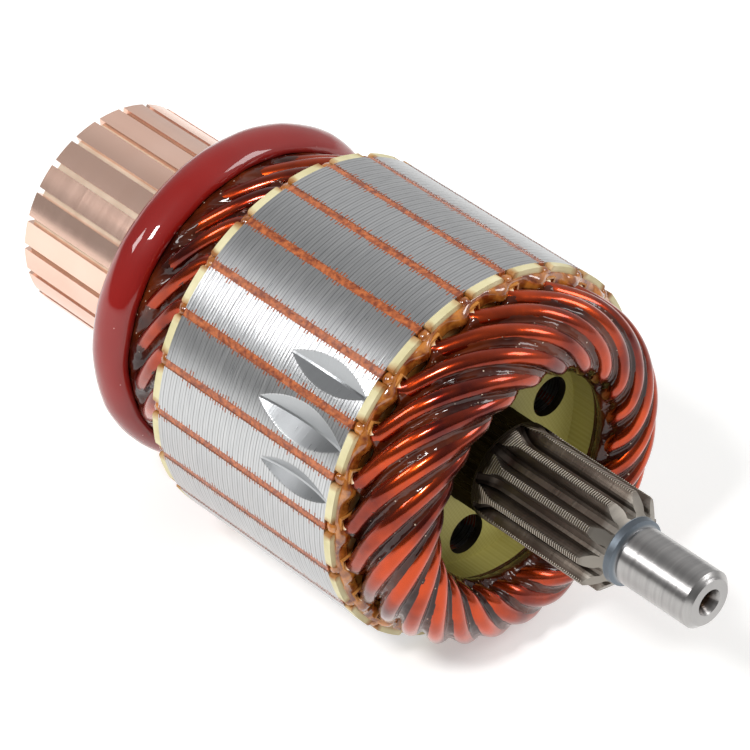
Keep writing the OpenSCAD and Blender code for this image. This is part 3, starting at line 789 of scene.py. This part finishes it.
# %% Material: case-hardened shaft
# Oil marks of 3 mm; tool marks across the lands every 0.36 mm.
shaft_steel, tree, shader = surface("case_hardened_steel", Metallic=1.0)
place, along, radius, _ = shaft_coordinates(tree)
GEAR_START = (6.2 - JOURNAL_MID) * MM
GEAR_END = (27.8 - JOURNAL_MID) * MM
NECK_END = (29.3 - JOURNAL_MID) * MM
REAR_JOURNAL = -0.1
oil = add(tree, "ShaderNodeTexNoise", {"Vector": place, "Scale": 350.0, "Detail": 4.0})
gear_tone = add(
    tree, "ShaderNodeMix",
    {0: oil.outputs[0], 6: hex_colour("#4C433C"), 7: hex_colour("#7E746A")}, data_type="RGBA")
LAND_MARK = 0.00036
marks = add(tree, "ShaderNodeMath", {0: along, 1: LAND_MARK / 2}, operation="PINGPONG")
mark_height = add(tree, "ShaderNodeMath", {0: marks.outputs[0], 1: 2 / LAND_MARK}, operation="MULTIPLY")
on_land = add(tree, "ShaderNodeMapRange", {0: radius, 1: 0.0069, 2: 0.0071})
bright_mark = add(tree, "ShaderNodeMapRange", {0: mark_height.outputs[0], 1: 0.35, 2: 0.75})
marked = add(
    tree, "ShaderNodeMath",
    {0: bright_mark.outputs[0], 1: on_land.outputs[0]}, operation="MULTIPLY")
land_tone = add(
    tree, "ShaderNodeMix",
    {0: marked.outputs[0], 6: gear_tone.outputs[2], 7: hex_colour("#B8B0A6")}, data_type="RGBA")
print("length with tool marks in mm:", round((GEAR_END - GEAR_START) / MM, 1))

# %% Ground journal, chamfers and collar
ground_stretch = add(
    tree, "ShaderNodeVectorMath",
    {0: place, 1: (2200.0, 120.0, 120.0)}, operation="MULTIPLY")
ground_lines = add(
    tree, "ShaderNodeTexNoise",
    {"Vector": ground_stretch.outputs[0], "Scale": 1.0, "Detail": 2.0})
ground_tone = add(
    tree, "ShaderNodeMix",
    {0: ground_lines.outputs[0], 6: hex_colour("#8C8A8A"), 7: hex_colour("#B4B2B0")}, data_type="RGBA")
in_chamfer = add(tree, "ShaderNodeMapRange", {0: along, 1: GEAR_END - 0.0026, 2: GEAR_END - 0.0018})
with_chamfer = add(
    tree, "ShaderNodeMix",
    {0: in_chamfer.outputs[0], 6: land_tone.outputs[2], 7: hex_colour("#8C867E")}, data_type="RGBA")
in_neck = add(tree, "ShaderNodeMapRange", {0: along, 1: GEAR_END - 0.0001, 2: GEAR_END})
with_neck = add(
    tree, "ShaderNodeMix",
    {0: in_neck.outputs[0], 6: with_chamfer.outputs[2], 7: hex_colour("#6E767E")}, data_type="RGBA")
in_journal = add(tree, "ShaderNodeMapRange", {0: along, 1: NECK_END - 0.0003, 2: NECK_END})
with_journal = add(
    tree, "ShaderNodeMix",
    {0: in_journal.outputs[0], 6: with_neck.outputs[2], 7: ground_tone.outputs[2]},
    data_type="RGBA")
print("nodes so far:", len(tree.nodes))

# %% Black knurl, rear journal and centre holes
scale_edge = add(
    tree, "ShaderNodeMath",
    {0: oil.outputs[0], 1: -0.004, 2: along}, operation="MULTIPLY_ADD")
in_knurl = add(
    tree, "ShaderNodeMapRange",
    {0: scale_edge.outputs[0], 1: GEAR_START - 0.0002, 2: GEAR_START - 0.0012})
rear_journal = add(tree, "ShaderNodeMath", {0: along, 1: REAR_JOURNAL}, operation="LESS_THAN")
with_knurl = add(
    tree, "ShaderNodeMix",
    {0: in_knurl.outputs[0], 6: with_journal.outputs[2], 7: hex_colour("#2A231E")},
    data_type="RGBA")
with_rear = add(
    tree, "ShaderNodeMix",
    {0: rear_journal.outputs[0], 6: with_knurl.outputs[2], 7: ground_tone.outputs[2]},
    data_type="RGBA")
in_bore = add(tree, "ShaderNodeMapRange", {0: radius, 1: 0.0019, 2: 0.0012})
with_bore = add(
    tree, "ShaderNodeMix", {0: in_bore.outputs[0], 6: with_rear.outputs[2], 7: hex_colour("#3A2C22")},
    data_type="RGBA")
tree.links.new(with_bore.outputs[2], shader.inputs["Base Color"])
print("rear journal starts at x in mm:", REAR_JOURNAL / MM)

# %% Roughness and marks of the shaft
gear_rough = add(tree, "ShaderNodeMix", {0: in_journal.outputs[0], 2: 0.46, 3: 0.28}, data_type="FLOAT")
all_rough = add(
    tree, "ShaderNodeMix",
    {0: in_knurl.outputs[0], 2: gear_rough.outputs[0], 3: 0.42}, data_type="FLOAT")
tree.links.new(all_rough.outputs[0], shader.inputs["Roughness"])
land_marks = add(
    tree, "ShaderNodeMath",
    {0: mark_height.outputs[0], 1: on_land.outputs[0]}, operation="MULTIPLY")
fine = add(
    tree, "ShaderNodeMath",
    {0: ground_lines.outputs[0], 1: 0.35, 2: land_marks.outputs[0]}, operation="MULTIPLY_ADD")
bump = add(tree, "ShaderNodeBump", {"Height": fine.outputs[0], "Strength": 0.8, "Distance": 0.00015})
tree.links.new(bump.outputs[0], shader.inputs["Normal"])
done(shaft_steel)

# %% [markdown]
# ## Commutator copper
#
# Commutator bars are hard-drawn copper turned with a diamond tool, so the track is
# a pale pink mirror with hair-fine rings. Metals get their colour from the
# reflection, so the base colour is copper's own and the roughness stays low.

# %% Material: diamond-turned copper
# Rings a third of a millimetre wide, and a blush of about 11 mm.
bar_copper, tree, shader = surface("diamond_turned_copper", Metallic=0.82)
place = add(tree, "ShaderNodeTexCoord").outputs["Object"]
rings = add(tree, "ShaderNodeVectorMath", {0: place, 1: (3000.0, 60.0, 60.0)}, operation="MULTIPLY")
ring_lines = add(tree, "ShaderNodeTexNoise", {"Vector": rings.outputs[0], "Scale": 1.0, "Detail": 2.0})
blush = add(tree, "ShaderNodeTexNoise", {"Vector": place, "Scale": 90.0, "Detail": 2.0})
copper_tone = add(
    tree, "ShaderNodeMix",
    {0: blush.outputs[0], 6: hex_colour("#E6B8A2"), 7: hex_colour("#F6D6C6")}, data_type="RGBA")
tree.links.new(copper_tone.outputs[2], shader.inputs["Base Color"])
rough = add(tree, "ShaderNodeMapRange", {0: ring_lines.outputs[0], 3: 0.14, 4: 0.26})
tree.links.new(rough.outputs[0], shader.inputs["Roughness"])
done(bar_copper)

# %% [markdown]
# ## Hub and ring resin
#
# The hub between the bars is a pale mineral-filled moulding. The ring over the wire
# ends is a deep red casting resin: its colour comes from inside and its gloss from
# a smooth outer skin, so the base is dull and a clear coat lies over it.

# %% Material: moulded hub between the bars
# Clouds of about 2.5 mm.
hub_mould, tree, shader = surface("hub_mould", Roughness=0.6)
place = add(tree, "ShaderNodeTexCoord").outputs["Object"]
cloudy = add(tree, "ShaderNodeTexNoise", {"Vector": place, "Scale": 400.0, "Detail": 3.0})
hub_colour = add(
    tree, "ShaderNodeMix",
    {0: cloudy.outputs[0], 6: hex_colour("#B9A088"), 7: hex_colour("#E6D8C4")}, data_type="RGBA")
tree.links.new(hub_colour.outputs[2], shader.inputs["Base Color"])
done(hub_mould)

# %% Material: poured riser resin
# Clouds of 17 mm and dust specks 2 mm apart.
riser_resin, tree, shader = surface(
    "poured_red_resin", Roughness=0.5, Specular_IOR_Level=0.1,
    Coat_Weight=1.0, Coat_Roughness=0.04, Coat_IOR=1.5)
place = add(tree, "ShaderNodeTexCoord").outputs["Object"]
cloudy = add(tree, "ShaderNodeTexNoise", {"Vector": place, "Scale": 60.0, "Detail": 2.0})
ring_colour = add(
    tree, "ShaderNodeMix",
    {0: cloudy.outputs[0], 6: hex_colour("#720A07"), 7: hex_colour("#961610")}, data_type="RGBA")
specks = add(tree, "ShaderNodeTexVoronoi", {"Vector": place, "Scale": 520.0})
speck_mask = add(tree, "ShaderNodeMapRange", {0: specks.outputs["Distance"], 1: 0.05, 2: 0.03})
dusty = add(
    tree, "ShaderNodeMix",
    {0: speck_mask.outputs[0], 6: ring_colour.outputs[2], 7: hex_colour("#D8A8A0")}, data_type="RGBA")
tree.links.new(dusty.outputs[2], shader.inputs["Base Color"])
done(riser_resin)

# %% [markdown]
# ## The resin ring
#
# The ring over the wire ends was poured and then baked, so it has no corner
# anywhere: surface tension rounds its lip and leaves it a little uneven. A profile
# of a few edges is spun round the shaft, and slow noise gives it its ripple.

# %% The ring as a spun bead
BEAD_R = 4.1
RING_R = 25.0
bead = [(15.9, RISER_END - 2.9), (15.9, RISER_END + 0.4 - BEAD_R)]
for step in range(15):
    turn = math.radians(-90 + 10 * step)
    bead.append((RING_R - BEAD_R + BEAD_R * math.cos(turn), RISER_END + 0.4 + BEAD_R * math.sin(turn)))
bead += [(23.1, RISER_END + 3.68), (22.7, RISER_END + 3.7), (22.42, RISER_END + 3.5),
         (22.27, RISER_END + 3.1), (21.7, RISER_END), (21.7, RISER_END - 2.9)]
bm = bmesh.new()
profile = [bm.verts.new((r, 0, z)) for r, z in bead]
edges = [bm.edges.new((profile[i - 1], profile[i])) for i in range(len(profile))]
bmesh.ops.spin(
    bm, geom=profile + edges, cent=(0, 0, 0), axis=(0, 0, 1), angle=math.tau, steps=180, use_merge=True)
bmesh.ops.remove_doubles(bm, verts=bm.verts, dist=0.001)
bmesh.ops.recalc_face_normals(bm, faces=bm.faces)
for vert in bm.verts:
    if vert.co.z > RISER_END - 3.6 and math.hypot(vert.co.x, vert.co.y) > 21.8:
        ripple = 0.16 * noise.noise(vert.co * 0.16) + 0.05 * noise.noise(vert.co * 0.5)
        out = Vector((vert.co.x, vert.co.y, 0)).normalized()
        vert.co += (ripple - 0.12) * out
        on_lip = vert.co.z > RISER_END + 2.8
        vert.co.z += 0.25 * noise.noise(vert.co * 0.2 + Vector((9, 0, 0))) * on_lip
keep(bm, "riser_ring", riser_resin, "riser_resin", "riser_band")

# %% [markdown]
# ## Finishes of the solids
#
# The solids that stay visible keep their shape and get a material each.

# %% Give the solids of the CAD model their finishes
finishes = {
    "shaft": shaft_steel, "lamination_core": stack_steel, "drive_end_plate": fibre,
    "commutator_end_plate": fibre, "slot_liners": slot_paper, "slot_separators": slot_paper,
    "slot_resin": trickle_resin, "drive_end_band": fibre, "commutator_hub": hub_mould,
    "commutator_bush": shaft_steel, "shaft_sleeve": fibre,
}
for k in range(SLOTS):
    finishes[f"bar_{k + 1:02d}"] = bar_copper
for node_name, finish in finishes.items():
    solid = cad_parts[node_name]
    solid.data.materials.clear()
    solid.data.materials.append(finish)
print("finishes given to", len(finishes), "solids")

# %% [markdown]
# ## Studio
#
# A white floor, a dim ceiling and a brighter back wall are what the steel mirrors:
# the wall lightens the upper teeth and the ceiling leaves the ones between dark.
# Three small lamps add the glints on the wire, the ring and the copper.

# %% Floor
floor_bm = bmesh.new()
bmesh.ops.create_grid(floor_bm, x_segments=1, y_segments=1, size=3.0)
bmesh.ops.translate(floor_bm, verts=floor_bm.verts, vec=(0, 0, -CORE_R * MM))
floor_mesh = bpy.data.meshes.new("studio_floor")
floor_bm.to_mesh(floor_mesh)
floor_bm.free()
floor = bpy.data.objects.new("studio_floor", floor_mesh)
bpy.context.scene.collection.objects.link(floor)
studio_paper, tree, shader = surface(
    "studio_paper", Roughness=0.9, Base_Color=hex_colour("#E8E8E6"),
    Emission_Color=hex_colour("#FFFFFF"), Emission_Strength=0.38)
floor_mesh.materials.append(studio_paper)

# %% World
world = bpy.data.worlds.new("studio")
world.use_nodes = True
sky = world.node_tree
direction = add(sky, "ShaderNodeTexCoord").outputs["Generated"]
split = add(sky, "ShaderNodeSeparateXYZ", {0: direction})
back_wall = add(sky, "ShaderNodeMapRange", {0: split.outputs[1], 1: -0.1, 2: 0.5, 3: 0.0, 4: 0.42})
ceiling = add(sky, "ShaderNodeMapRange", {0: split.outputs[2], 1: 0.05, 2: 0.7, 3: 0.12, 4: 0.3})
level = add(sky, "ShaderNodeMath", {0: back_wall.outputs[0], 1: ceiling.outputs[0]}, operation="ADD")
sky.nodes["Background"].inputs[0].default_value = hex_colour("#FFFFFF")
sky.links.new(level.outputs[0], sky.nodes["Background"].inputs[1])
bpy.context.scene.world = world
bpy.context.scene.view_settings.view_transform = "Standard"
print("world nodes:", len(sky.nodes))

# %% Lights


def soft_box(name, place, aim, width, height, watts):
    """A rectangular area light at a place, turned to an aim, in metres and watts."""
    light = bpy.data.lights.new(name, "AREA")
    light.shape = "RECTANGLE"
    light.size = width
    light.size_y = height
    light.energy = watts
    lamp = bpy.data.objects.new(name, light)
    lamp.location = place
    lamp.rotation_euler = (Vector(aim) - Vector(place)).to_track_quat("-Z", "Y").to_euler()
    bpy.context.scene.collection.objects.link(lamp)
    return lamp


middle = (-0.05, 0, 0)
soft_box("key_box", (-0.41, -0.53, 0.48), middle, 0.2, 0.2, 1.4)
soft_box("front_box", (0.04, -0.5, 0.64), middle, 0.15, 0.15, 3.8)
soft_box("side_box", (0.4, 0.42, 0.5), middle, 0.3, 0.3, 2.2)
